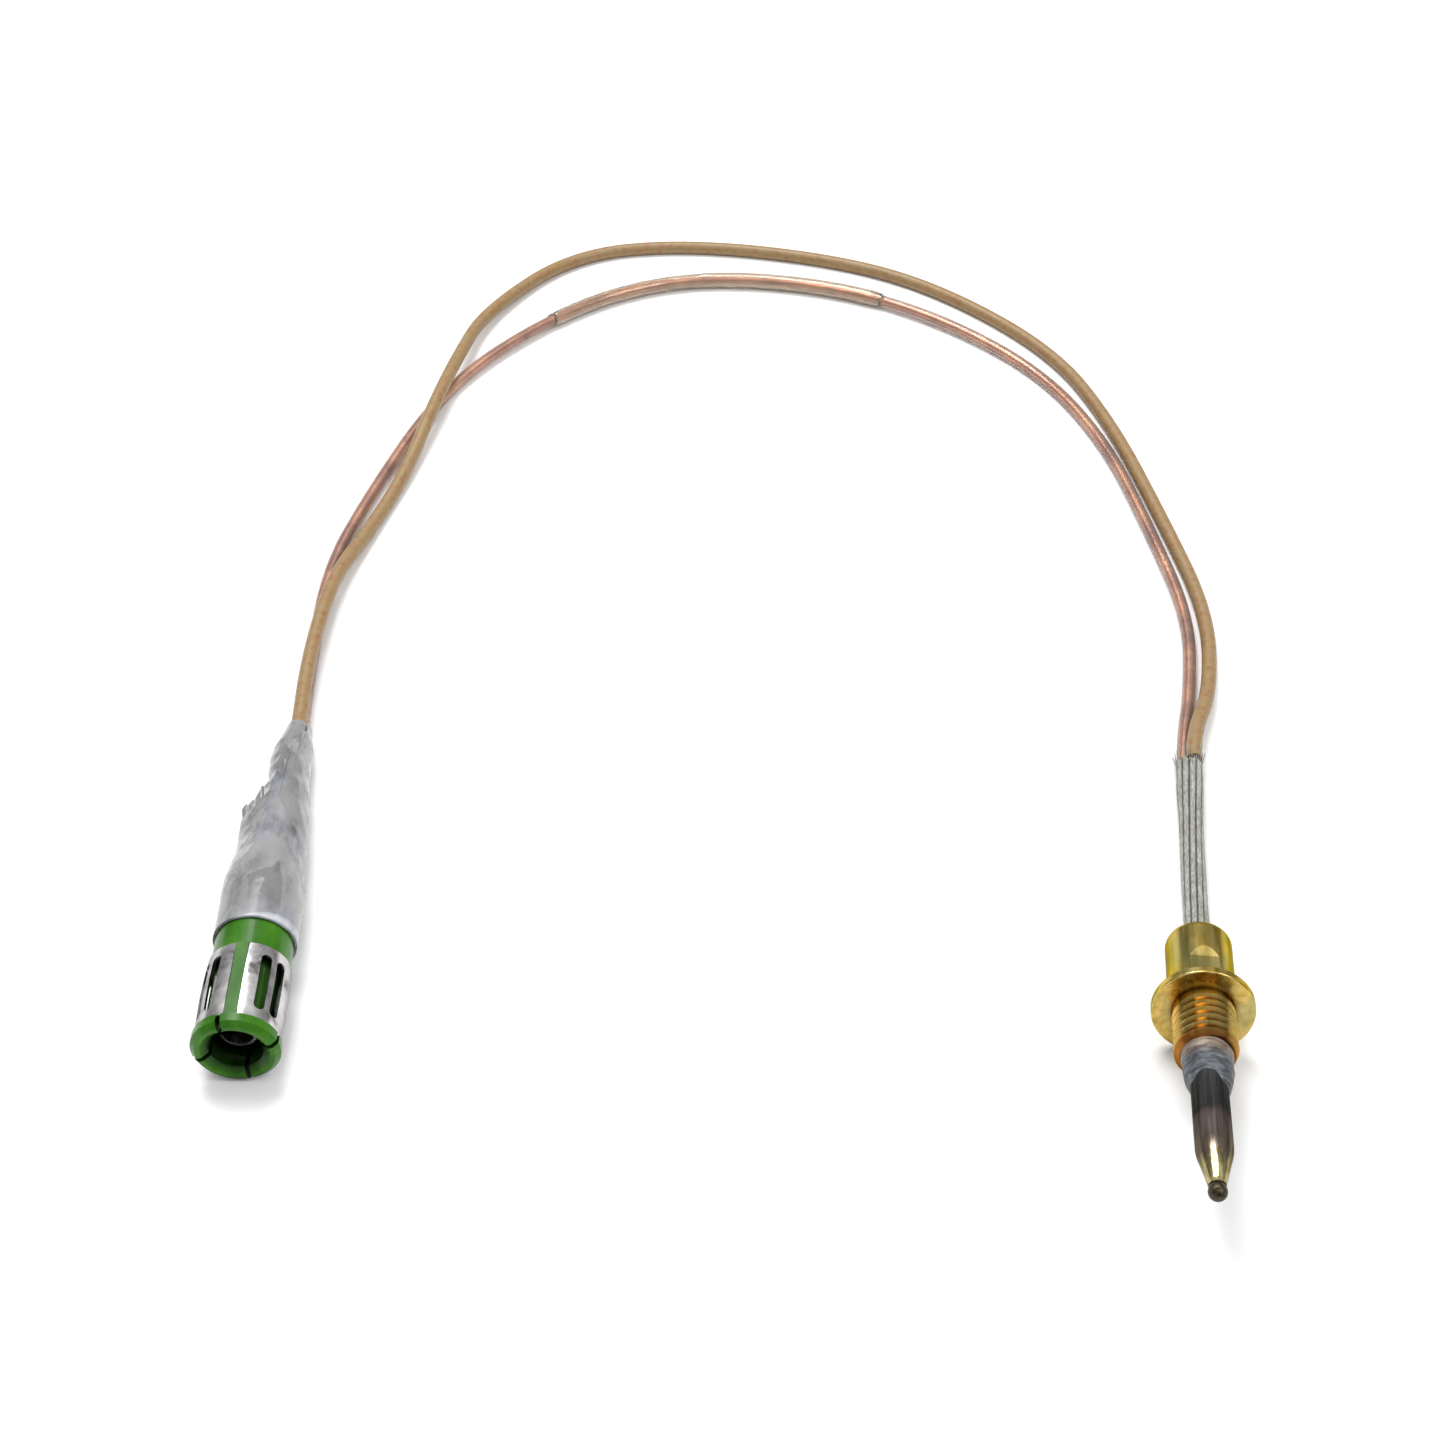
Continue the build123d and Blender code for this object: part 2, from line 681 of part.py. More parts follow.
# ---- solder that bonds the copper lead's conductor to the shell's tongue ----
tongue_face = Plane(origin=in_plug(0, nose_radius - tongue_drop, 0), z_dir=(0, 0, 1))
with BuildPart(plug_plane.offset(shell_joint_station)) as shell_solder_joint:
    with Locations((0, shell_joint_rise - tongue_drop, 0)):
        Sphere(shell_joint_radius)
    split(bisect_by=tongue_face, keep=Keep.TOP)
    with Locations((0, wire_radius - tongue_drop, 0)):
        Cylinder(wire_radius + wire_clearance, shell_joint_bore, mode=Mode.SUBTRACT)
finish(shell_solder_joint, "shell_solder_joint")
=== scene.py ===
"""Looks of a gas hob thermocouple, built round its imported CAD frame.

Blender lengths are in metres. Numbers that MM multiplies are in millimetres. Patterns are in cells per metre.
"""

import json
import math

import bmesh
import bpy
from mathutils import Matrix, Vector
from mathutils import noise as perlin

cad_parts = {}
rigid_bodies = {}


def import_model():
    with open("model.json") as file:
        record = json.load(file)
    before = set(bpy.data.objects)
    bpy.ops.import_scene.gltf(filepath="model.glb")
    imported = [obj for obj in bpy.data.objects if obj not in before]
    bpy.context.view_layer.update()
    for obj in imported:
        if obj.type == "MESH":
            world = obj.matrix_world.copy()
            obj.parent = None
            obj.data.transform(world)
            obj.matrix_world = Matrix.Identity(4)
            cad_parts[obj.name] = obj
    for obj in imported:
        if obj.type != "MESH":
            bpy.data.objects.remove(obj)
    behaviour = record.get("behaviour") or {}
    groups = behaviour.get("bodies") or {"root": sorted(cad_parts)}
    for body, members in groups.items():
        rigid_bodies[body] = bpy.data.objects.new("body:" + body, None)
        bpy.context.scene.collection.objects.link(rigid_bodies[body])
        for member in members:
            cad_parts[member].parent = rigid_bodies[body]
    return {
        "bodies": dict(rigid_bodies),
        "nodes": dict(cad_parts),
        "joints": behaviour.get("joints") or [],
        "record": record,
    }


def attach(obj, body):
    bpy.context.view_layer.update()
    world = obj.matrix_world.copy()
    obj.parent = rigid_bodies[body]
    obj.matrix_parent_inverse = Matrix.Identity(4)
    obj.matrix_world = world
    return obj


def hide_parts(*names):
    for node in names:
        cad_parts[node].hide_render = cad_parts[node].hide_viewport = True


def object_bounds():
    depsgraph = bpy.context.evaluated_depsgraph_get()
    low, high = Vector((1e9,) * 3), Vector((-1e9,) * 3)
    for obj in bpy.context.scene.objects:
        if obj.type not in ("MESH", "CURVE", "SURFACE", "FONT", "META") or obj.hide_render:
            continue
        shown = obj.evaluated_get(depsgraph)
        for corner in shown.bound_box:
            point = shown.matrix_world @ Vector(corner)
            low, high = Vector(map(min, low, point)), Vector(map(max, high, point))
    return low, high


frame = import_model()
cad_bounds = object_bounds()
nodes = frame["nodes"]

MM = 0.001
table_z = cad_bounds[0].z
WHITE = (1.0, 1.0, 1.0)

# ---- the plug's own frame: stations run along its axis, zero at the nose face ----
PLUG_YAW = math.radians(6.5)
PLUG_NOSE = Vector((-89.7, -14.6, 0.0)) * MM
plug_dir = Vector((math.sin(PLUG_YAW), -math.cos(PLUG_YAW), 0.0))
plug_side = Vector((math.cos(PLUG_YAW), math.sin(PLUG_YAW), 0.0))

# ---- the probe's own frame: stations run along its axis, zero at the flange's seat ----
FLANGE_RADIUS = 4.9
BARREL_RADIUS = 3.25
BARREL_LENGTH = 9.4
PROBE_TILT = math.atan2(FLANGE_RADIUS - BARREL_RADIUS, BARREL_LENGTH)
probe_dir = Vector((0.0, -math.cos(PROBE_TILT), math.sin(PROBE_TILT)))
probe_up = Vector((0.0, math.sin(PROBE_TILT), math.cos(PROBE_TILT)))


def above_table(x, y, height):
    """Point in millimetres, its height counted from the table."""
    return Vector((x * MM, y * MM, table_z + height * MM))


def in_plug(height, station):
    """Point on the plug's centre plane, at a height above the table."""
    point = PLUG_NOSE + plug_dir * (station * MM)
    return Vector((point.x, point.y, table_z + height * MM))


def in_probe(side, up, station):
    """Point in the probe's own frame."""
    return Vector((side * MM, 0.0, 0.0)) + probe_up * (up * MM) + probe_dir * (station * MM)


# ---- routes of the two leads, the same points as in the CAD source ----
YELLOW_JACKET = [
    above_table(0.46, 37.5, 2.26),
    above_table(0.46, 41.5, 2.26),
    above_table(2.7, 49.5, 1.3),
    above_table(2.8, 63.5, 0.83),
    above_table(-2.2, 80.5, 0.83),
    above_table(-8.0, 98.5, 0.83),
    above_table(-15.5, 113.5, 0.83),
    above_table(-31.0, 126.5, 0.83),
    above_table(-45.5, 132.0, 0.83),
    above_table(-66.0, 133.5, 0.83),
    above_table(-81.0, 129.0, 0.83),
    above_table(-90.0, 113.5, 1.3),
    above_table(-91.2, 101.0, 2.7),
    above_table(-92.2, 90.0, 2.7),
    above_table(-93.4, 78.0, 1.0),
    above_table(-95.4, 67.0, 0.9),
    above_table(-97.0, 57.5, 2.2),
    above_table(-96.9, 48.5, 2.6),
    above_table(-96.2, 39.5, 2.6),
    in_plug(2.72, -46.0),
    in_plug(3.1, -36.0),
    in_plug(3.45, -31.5),
]
COPPER_JACKET = [
    above_table(-0.46, 37.5, 0.94),
    above_table(-0.46, 41.5, 0.94),
    above_table(0.5, 49.5, 0.75),
    above_table(0.7, 62.5, 0.75),
    above_table(-3.7, 78.5, 0.75),
    above_table(-8.7, 94.5, 0.75),
    above_table(-16.7, 108.5, 0.75),
    above_table(-30.0, 119.0, 1.05),
    above_table(-44.5, 125.0, 1.05),
    above_table(-62.5, 125.5, 1.05),
    above_table(-76.0, 119.0, 1.05),
    above_table(-87.5, 105.0, 1.05),
    above_table(-93.3, 92.0, 0.75),
    above_table(-96.8, 74.0, 0.75),
    above_table(-98.7, 59.5, 0.75),
    above_table(-96.6, 42.5, 0.75),
    in_plug(1.1, -46.0),
    in_plug(1.35, -36.0),
    in_plug(1.62, -31.5),
]
YELLOW_CORE = [
    in_probe(0.0, 0.0, -1.9),
    in_probe(0.0, 0.0, -4.2),
    in_probe(0.26, 0.37, -7.9),
    above_table(0.26, 14.5, 2.807),
    above_table(0.26, 24.0, 1.97),
    above_table(0.26, 29.5, 1.97),
    above_table(0.46, 33.5, 2.26),
    *YELLOW_JACKET[1:-1],
    in_plug(3.8, -27.0),
    in_plug(4.25, -20.0),
    in_plug(4.25, -12.6),
]
COPPER_CORE = [
    in_probe(-0.75, -1.06, -1.8),
    in_probe(-0.75, -1.06, -4.2),
    in_probe(-0.26, -0.37, -7.9),
    above_table(-0.26, 14.5, 2.067),
    above_table(-0.26, 24.0, 1.23),
    above_table(-0.26, 29.5, 1.23),
    above_table(-0.46, 33.5, 0.94),
    *COPPER_JACKET[1:-1],
    in_plug(1.9, -27.0),
    in_plug(2.3, -20.0),
    in_plug(2.3, -12.6),
]
GUARD = [
    above_table(-37.25, 122.0, 1.05),
    above_table(-44.5, 125.0, 1.05),
    above_table(-62.5, 125.5, 1.05),
    above_table(-76.0, 119.0, 1.05),
    above_table(-81.75, 112.0, 1.05),
]
YELLOW_RADIUS = 0.83 * MM
COPPER_RADIUS = 0.75 * MM
CORE_RADIUS = 0.40 * MM
SPAN_STEPS = 24                 # points along each span of a lead's line
RIM_STEPS = 8                   # fineness of a lead's round section


def spline_object(name, points, radius):
    """A round lead along a smooth NURBS line with these control points."""
    curve = bpy.data.curves.new(name, "CURVE")
    curve.dimensions = "3D"
    curve.resolution_u = SPAN_STEPS
    curve.bevel_depth = radius
    curve.bevel_resolution = RIM_STEPS
    curve.use_fill_caps = True
    spline = curve.splines.new("NURBS")
    spline.points.add(len(points) - 1)
    for place, point in zip(spline.points, points):
        place.co = (*point, 1.0)
    spline.order_u = 3
    spline.use_endpoint_u = True
    piece = bpy.data.objects.new(name, curve)
    bpy.context.scene.collection.objects.link(piece)
    return piece


def route_line(points):
    """Points along the smooth NURBS line of a route."""
    guide = spline_object("guide", points, 0.0)
    bpy.context.view_layer.update()
    depsgraph = bpy.context.evaluated_depsgraph_get()
    mesh = bpy.data.meshes.new_from_object(guide.evaluated_get(depsgraph))
    line = [vertex.co.copy() for vertex in mesh.vertices]
    bpy.data.objects.remove(guide)
    bpy.data.meshes.remove(mesh)
    return line


def line_frames(line):
    """Place, side direction, upward direction and run so far (millimetres) along a line."""
    frames = []
    run = 0.0
    for index, place in enumerate(line):
        before = line[max(index - 1, 0)]
        after = line[min(index + 1, len(line) - 1)]
        if index:
            run += (place - before).length / MM
        ahead = (after - before).normalized()
        side = ahead.cross(Vector((0.0, 0.0, 1.0))).normalized()
        frames.append((place, side, side.cross(ahead), run))
    return frames


def ring_noise(angle, waves, height):
    """Smooth noise about zero round a ring, that changes with the height."""
    return perlin.noise(Vector((waves * math.cos(angle), waves * math.sin(angle), height)))


def ragged(angle, seed, teeth):
    """A number about a half that jumps about round a torn edge."""
    return 0.5 + 0.5 * ring_noise(angle, teeth, seed)


class Skin:
    """Collects closed walls, each a loop of rings, into one smooth mesh."""

    def __init__(self):
        self.corners = []
        self.faces = []

    def wall(self, outer, inner):
        """A closed wall between outer rings and inner rings, both from front to back."""
        rings = outer + inner[::-1]
        first = len(self.corners)
        size = len(rings[0])
        for ring in rings:
            self.corners.extend(ring)
        for row in range(len(rings)):
            here = first + row * size
            there = first + ((row + 1) % len(rings)) * size
            for column in range(size):
                after = (column + 1) % size
                self.faces.append((here + column, here + after, there + after, there + column))

    def tube(self, rows, columns, corners):
        """A tube's wall, from a function that gives the outer and inner corner at a row and angle."""
        outer, inner = [], []
        for row in rows:
            pairs = [corners(row, 2 * math.pi * column / columns) for column in range(columns)]
            outer.append([pair[0] for pair in pairs])
            inner.append([pair[1] for pair in pairs])
        self.wall(outer, inner)

    def build(self, name, material, node):
        """The mesh as an object that stands for one CAD node."""
        mesh = bpy.data.meshes.new(name)
        mesh.from_pydata([tuple(corner) for corner in self.corners], [], self.faces)
        solid = bmesh.new()
        solid.from_mesh(mesh)
        bmesh.ops.recalc_face_normals(solid, faces=solid.faces)
        solid.to_mesh(mesh)
        solid.free()
        mesh.shade_smooth()
        mesh.materials.append(material)
        piece = bpy.data.objects.new(name, mesh)
        bpy.context.scene.collection.objects.link(piece)
        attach(piece, "root")
        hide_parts(node)
        return piece


# ---- camera, fitted to the photo ----
CAMERA_LENS = 61.04
CAMERA_PLACE = (-0.0281, -0.1538, 0.1780)
CAMERA_TURN = (math.radians(46.8), 0.0, math.radians(6.5))


def add_camera():
    """A long lens above the table, looking down over the probe."""
    data = bpy.data.cameras.new("camera")
    data.sensor_fit = "HORIZONTAL"
    data.sensor_width = 36.0
    data.lens = CAMERA_LENS
    data.clip_start = 0.01
    camera = bpy.data.objects.new("camera", data)
    camera.location = CAMERA_PLACE
    camera.rotation_euler = CAMERA_TURN
    bpy.context.scene.collection.objects.link(camera)
    bpy.context.scene.camera = camera


# ---- floor, backdrop and light ----
FLOOR_REACH = 3.0
SKY_STRENGTH = 0.88
LIT_POINT = (-0.04, 0.05, 0.0)


def shader(name):
    """A new node material, with its node tree and its Principled shader."""
    material = bpy.data.materials.new(name)
    material.use_nodes = True
    tree = material.node_tree
    return material, tree, tree.nodes["Principled BSDF"]


def add_stage():
    """A pale floor with a soft bright studio round it."""
    mesh = bpy.data.meshes.new("floor")
    corners = [(-1, -1), (1, -1), (1, 1), (-1, 1)]
    mesh.from_pydata([(x * FLOOR_REACH, y * FLOOR_REACH, table_z) for x, y in corners], [], [(0, 1, 2, 3)])
    floor = bpy.data.objects.new("floor", mesh)
    material, _, surface = shader("floor_white")
    surface.inputs["Base Color"].default_value = (0.93, 0.93, 0.93, 1.0)
    surface.inputs["Roughness"].default_value = 0.9
    floor.data.materials.append(material)
    bpy.context.scene.collection.objects.link(floor)
    world = bpy.data.worlds.new("studio")
    world.use_nodes = True
    tree = world.node_tree
    direction = tree.nodes.new("ShaderNodeTexCoord")
    split = tree.nodes.new("ShaderNodeSeparateXYZ")
    tree.links.new(direction.outputs["Generated"], split.inputs["Vector"])
    sky = ramp(
        tree,
        split.outputs["Z"],
        [(0.02, (0.30, 0.30, 0.30)), (0.30, (0.42, 0.42, 0.42)), (0.75, WHITE)],
    )
    tree.links.new(sky, tree.nodes["Background"].inputs["Color"])
    tree.nodes["Background"].inputs["Strength"].default_value = SKY_STRENGTH
    bpy.context.scene.world = world
    bpy.context.scene.view_settings.view_transform = "Standard"


def add_softbox(name, place, aim, size, power):
    """A square area light turned towards a point."""
    data = bpy.data.lights.new(name, "AREA")
    data.size = size
    data.energy = power
    lamp = bpy.data.objects.new(name, data)
    lamp.location = place
    lamp.rotation_euler = (Vector(aim) - Vector(place)).to_track_quat("-Z", "Y").to_euler()
    bpy.context.scene.collection.objects.link(lamp)


# ---- building blocks for the materials ----
def place_nodes(tree, scale, stretch=(1.0, 1.0, 1.0), turn=(0.0, 0.0, 0.0)):
    """Object coordinates, turned and then scaled, for the procedural patterns."""
    source = tree.nodes.new("ShaderNodeTexCoord")
    turned = tree.nodes.new("ShaderNodeVectorRotate")
    turned.rotation_type = "EULER_XYZ"
    turned.inputs["Rotation"].default_value = turn
    scaled = tree.nodes.new("ShaderNodeVectorMath")
    scaled.operation = "MULTIPLY"
    scaled.inputs[1].default_value = [scale * part for part in stretch]
    tree.links.new(source.outputs["Object"], turned.inputs["Vector"])
    tree.links.new(turned.outputs["Vector"], scaled.inputs[0])
    return scaled.outputs["Vector"]


def noise(tree, vector, detail=4.0, rough=0.55):
    """Noise texture along a vector, scaled by that vector."""
    node = tree.nodes.new("ShaderNodeTexNoise")
    node.inputs["Scale"].default_value = 1.0
    node.inputs["Detail"].default_value = detail
    node.inputs["Roughness"].default_value = rough
    tree.links.new(vector, node.inputs["Vector"])
    return node.outputs["Fac"]


def ramp(tree, factor, stops):
    """Colour ramp from (position, colour) stops."""
    node = tree.nodes.new("ShaderNodeValToRGB")
    elements = node.color_ramp.elements
    while len(elements) < len(stops):
        elements.new(0.5)
    for element, (position, colour) in zip(elements, stops):
        element.position = position
        element.color = (*colour, 1.0)
    tree.links.new(factor, node.inputs["Fac"])
    return node.outputs["Color"]


def spread(tree, factor, low, high, start=0.3, end=0.7):
    """A factor spread between two values."""
    node = tree.nodes.new("ShaderNodeMapRange")
    node.inputs["From Min"].default_value = start
    node.inputs["From Max"].default_value = end
    node.inputs["To Min"].default_value = low
    node.inputs["To Max"].default_value = high
    tree.links.new(factor, node.inputs["Value"])
    return node.outputs["Result"]


def blend_colours(tree, factor, first, second):
    """Mix of two colour sockets by a factor socket."""
    node = tree.nodes.new("ShaderNodeMix")
    node.data_type = "RGBA"
    tree.links.new(factor, node.inputs["Factor"])
    tree.links.new(first, node.inputs["A"])
    tree.links.new(second, node.inputs["B"])
    return node.outputs["Result"]


def bump(tree, surface, height, strength, distance):
    """Relief from a height socket, in metres."""
    node = tree.nodes.new("ShaderNodeBump")
    node.inputs["Strength"].default_value = strength
    node.inputs["Distance"].default_value = distance
    tree.links.new(height, node.inputs["Height"])
    tree.links.new(node.outputs["Normal"], surface.inputs["Normal"])


def shaded_creases(tree, colour, deep, reach):
    """A colour darkened towards another in grooves and corners no wider than the reach."""
    hidden = tree.nodes.new("ShaderNodeAmbientOcclusion")
    hidden.inputs["Distance"].default_value = reach
    shade = ramp(tree, hidden.outputs["AO"], [(0.35, deep), (0.90, WHITE)])
    return multiplied(tree, colour, shade)


def multiplied(tree, first, second, factor=1.0):
    """Product of two colour sockets."""
    node = tree.nodes.new("ShaderNodeMix")
    node.data_type = "RGBA"
    node.blend_type = "MULTIPLY"
    node.inputs["Factor"].default_value = factor
    tree.links.new(first, node.inputs["A"])
    tree.links.new(second, node.inputs["B"])
    return node.outputs["Result"]


def vector_math(tree, operation, vector, constant=(0.0, 0.0, 0.0)):
    """A vector operation on a socket and a constant."""
    node = tree.nodes.new("ShaderNodeVectorMath")
    node.operation = operation
    node.inputs[1].default_value = constant
    tree.links.new(vector, node.inputs[0])
    return node


def offset_socket(tree, origin):
    """A point's place counted from an origin, in metres."""
    source = tree.nodes.new("ShaderNodeTexCoord")
    return vector_math(tree, "SUBTRACT", source.outputs["Object"], origin).outputs["Vector"]


def station_socket(tree, direction, origin=(0.0, 0.0, 0.0)):
    """Distance of a point along a direction from an origin, in metres."""
    return vector_math(tree, "DOT_PRODUCT", offset_socket(tree, origin), direction).outputs["Value"]


def radius_socket(tree, direction, origin):
    """Distance of a point from an axis, in metres."""
    across = vector_math(tree, "CROSS_PRODUCT", offset_socket(tree, origin), direction)
    return vector_math(tree, "LENGTH", across.outputs["Vector"]).outputs["Value"]


add_camera()
add_stage()
add_softbox("key", (-0.18, 0.26, 0.52), LIT_POINT, 0.28, 2.9)
add_softbox("fill", (0.30, -0.12, 0.50), LIT_POINT, 0.25, 1.0)

ALONG_PROBE = (PROBE_TILT, 0.0, 0.0)
ALONG_PLUG = (0.0, 0.0, -PLUG_YAW)


# ---- metals of the probe ----
def brass_material():
    """Turned brass, olive gold with orange streaks and fine turning marks, with painted shade in the thread
    grooves and other hollows.
    """
    material, tree, surface = shader("brass_turned")
    streaks = noise(tree, place_nodes(tree, 900, (1.0, 0.12, 1.0), ALONG_PROBE))
    blotches = noise(tree, place_nodes(tree, 380), 3.0)
    gold = ramp(
        tree,
        streaks,
        [
            (0.30, (0.34, 0.21, 0.040)),
            (0.50, (0.56, 0.41, 0.11)),
            (0.72, (0.80, 0.54, 0.19)),
        ],
    )
    olive = ramp(tree, streaks, [(0.3, (0.30, 0.265, 0.085)), (0.7, (0.52, 0.46, 0.20))])
    colour = blend_colours(tree, spread(tree, blotches, 0.0, 0.9, 0.38, 0.60), gold, olive)
    station = station_socket(tree, tuple(probe_dir))
    end_share = spread(tree, station, 0.0, 1.0, -0.6 * MM, 6.4 * MM)
    burnt = ramp(
        tree,
        end_share,
        [
            (0.05, WHITE),
            (0.14, (1.0, 0.88, 0.76)),
            (0.80, (1.0, 0.86, 0.72)),
            (0.95, (0.58, 0.30, 0.20)),
        ],
    )
    colour = multiplied(tree, colour, burnt)
    # Painted shade: dark red-brown in the thread grooves and hollows, by ambient occlusion.
    colour = shaded_creases(tree, colour, (0.22, 0.075, 0.025), 0.8 * MM)
    tree.links.new(colour, surface.inputs["Base Color"])
    surface.inputs["Metallic"].default_value = 1.0
    surface.inputs["Specular Tint"].default_value = (0.42, 0.36, 0.18, 1.0)
    tree.links.new(spread(tree, streaks, 0.16, 0.32), surface.inputs["Roughness"])
    rings = noise(tree, place_nodes(tree, 1.0, (2.0e3, 2.6e4, 2.0e3), ALONG_PROBE), 2.0)
    bump(tree, surface, rings, 0.35, 6.0e-6)
    return material


def tube_material():
    """Heat-stained metal: dark grey by the braze, brown with flutes, golden and bright on the taper."""
    material, tree, surface = shader("tube_heat_stained")
    wander = noise(tree, place_nodes(tree, 700), 3.0)
    station = station_socket(tree, tuple(probe_dir))
    wobble = tree.nodes.new("ShaderNodeMath")
    wobble.operation = "MULTIPLY_ADD"
    wobble.inputs[1].default_value = 1.6 * MM
    tree.links.new(wander, wobble.inputs[0])
    tree.links.new(station, wobble.inputs[2])
    along = spread(tree, wobble.outputs["Value"], 0.0, 1.0, 8.0 * MM, 25.0 * MM)
    stain = ramp(
        tree,
        along,
        [
            (0.10, (0.070, 0.072, 0.080)),
            (0.44, (0.040, 0.042, 0.042)),
            (0.50, (0.115, 0.090, 0.088)),
            (0.62, (0.135, 0.108, 0.100)),
            (0.75, (0.150, 0.120, 0.090)),
            (0.82, (0.33, 0.28, 0.14)),
            (0.92, (0.62, 0.54, 0.28)),
        ],
    )
    flutes = noise(tree, place_nodes(tree, 1.0, (2.6e3, 120.0, 2.6e3), ALONG_PROBE), 2.0)
    shade = ramp(tree, flutes, [(0.38, (0.50, 0.48, 0.46)), (0.62, WHITE)])
    tree.links.new(multiplied(tree, stain, shade), surface.inputs["Base Color"])
    surface.inputs["Metallic"].default_value = 0.85
    surface.inputs["Specular Tint"].default_value = (0.35, 0.33, 0.28, 1.0)
    tree.links.new(spread(tree, along, 0.60, 0.13, 0.45, 0.80), surface.inputs["Roughness"])
    bump(tree, surface, flutes, 0.9, 3.5e-5)
    return material


def bead_material():
    """Oxidised weld bead, nearly black."""
    material, tree, surface = shader("bead_oxide")
    grain = noise(tree, place_nodes(tree, 2600))
    colour = ramp(tree, grain, [(0.35, (0.018, 0.015, 0.010)), (0.68, (0.095, 0.080, 0.048))])
    tree.links.new(colour, surface.inputs["Base Color"])
    surface.inputs["Metallic"].default_value = 0.9
    tree.links.new(spread(tree, grain, 0.30, 0.55), surface.inputs["Roughness"])
    bump(tree, surface, grain, 0.4, 2.0e-5)
    return material


def braze_material():
    """Grey filler smeared in layers, lighter and browner by the stub."""
    material, tree, surface = shader("braze_smeared")
    layers = noise(tree, place_nodes(tree, 1.0, (420.0, 2300.0, 900.0), ALONG_PROBE), 6.0, 0.62)
    cool = ramp(
        tree,
        layers,
        [
            (0.30, (0.020, 0.022, 0.026)),
            (0.48, (0.060, 0.065, 0.074)),
            (0.62, (0.13, 0.14, 0.155)),
            (0.80, (0.34, 0.36, 0.38)),
        ],
    )
    warm = ramp(tree, layers, [(0.30, (0.10, 0.055, 0.030)), (0.70, (0.34, 0.29, 0.23))])
    station = station_socket(tree, tuple(probe_dir))
    colour = blend_colours(tree, spread(tree, station, 0.0, 1.0, 6.9 * MM, 8.1 * MM), warm, cool)
    # Painted shade: darker in the folds and hollows of the smear, by ambient occlusion.
    colour = shaded_creases(tree, colour, (0.10, 0.10, 0.11), 0.5 * MM)
    tree.links.new(colour, surface.inputs["Base Color"])
    surface.inputs["Metallic"].default_value = 0.45
    tree.links.new(spread(tree, layers, 0.38, 0.60), surface.inputs["Roughness"])
    bump(tree, surface, layers, 0.8, 1.2e-4)
    return material


# ---- fibre, leads and sleeves ----
HEM_SLANT = 0.22                # slope of the film's hem across the plug


def glass_fibre_material():
    """White braided glass fibre: fine crossing strands, dirty in patches, with painted shade in the grooves
    between the ribs.
    """
    material, tree, surface = shader("glass_fibre_braid")
    soil = noise(tree, place_nodes(tree, 500), 5.0)
    strands = noise(tree, place_nodes(tree, 1.0, (9.0e3, 1.4e3, 9.0e3)), 3.0)
    colour = ramp(
        tree,
        strands,
        [
            (0.30, (0.15, 0.15, 0.13)),
            (0.52, (0.30, 0.30, 0.27)),
            (0.72, (0.50, 0.50, 0.46)),
        ],
    )
    dirt = ramp(tree, soil, [(0.42, WHITE), (0.80, (0.55, 0.52, 0.45))])
    colour = multiplied(tree, colour, dirt, 0.8)
    # Painted shade: darker in the grooves between the ribs and other hollows, by ambient occlusion.
    tree.links.new(shaded_creases(tree, colour, (0.05, 0.05, 0.045), 0.55 * MM), surface.inputs["Base Color"])
    surface.inputs["Roughness"].default_value = 0.72
    surface.inputs["Sheen Weight"].default_value = 0.2
    bump(tree, surface, strands, 0.6, 6.0e-5)
    return material


def varnish_material():
    """Satin ochre varnish, mottled with orange brown and olive."""
    material, tree, surface = shader("varnish_ochre")
    mottle = noise(tree, place_nodes(tree, 1250), 5.0, 0.62)
    fine = noise(tree, place_nodes(tree, 3200), 3.0)
    colour = ramp(
        tree,
        mottle,
        [
            (0.28, (0.22, 0.095, 0.034)),
            (0.44, (0.26, 0.150, 0.056)),
            (0.58, (0.27, 0.180, 0.080)),
            (0.74, (0.18, 0.155, 0.092)),
        ],
    )
    tree.links.new(colour, surface.inputs["Base Color"])
    tree.links.new(spread(tree, fine, 0.42, 0.60), surface.inputs["Roughness"])
    surface.inputs["Coat Weight"].default_value = 0.10
    surface.inputs["Coat Roughness"].default_value = 0.22
    bump(tree, surface, mottle, 0.25, 4.0e-5)
    return material


def copper_material():
    """Drawn copper, pinkish brown with darker stains."""
    material, tree, surface = shader("copper_drawn")
    stains = noise(tree, place_nodes(tree, 190), 6.0, 0.62)
    colour = ramp(
        tree,
        stains,
        [
            (0.30, (0.20, 0.085, 0.062)),
            (0.48, (0.44, 0.22, 0.145)),
            (0.60, (0.62, 0.34, 0.21)),
            (0.74, (0.74, 0.50, 0.30)),
        ],
    )
    tree.links.new(colour, surface.inputs["Base Color"])
    surface.inputs["Metallic"].default_value = 1.0
    tree.links.new(spread(tree, stains, 0.26, 0.42), surface.inputs["Roughness"])
    return material


def sheath_material(name, tint, weight):
    """Clear glossy sheath that lets the lead inside show."""
    material, tree, surface = shader(name)
    ripple = noise(tree, place_nodes(tree, 480), 3.0)
    colour = ramp(tree, ripple, [(0.3, tint), (0.7, tuple(min(1.0, 1.12 * part) for part in tint))])
    tree.links.new(colour, surface.inputs["Base Color"])
    surface.inputs["Transmission Weight"].default_value = weight
    surface.inputs["IOR"].default_value = 1.45
    tree.links.new(spread(tree, ripple, 0.06, 0.16), surface.inputs["Roughness"])
    bump(tree, surface, ripple, 0.25, 6.0e-5)
    return material


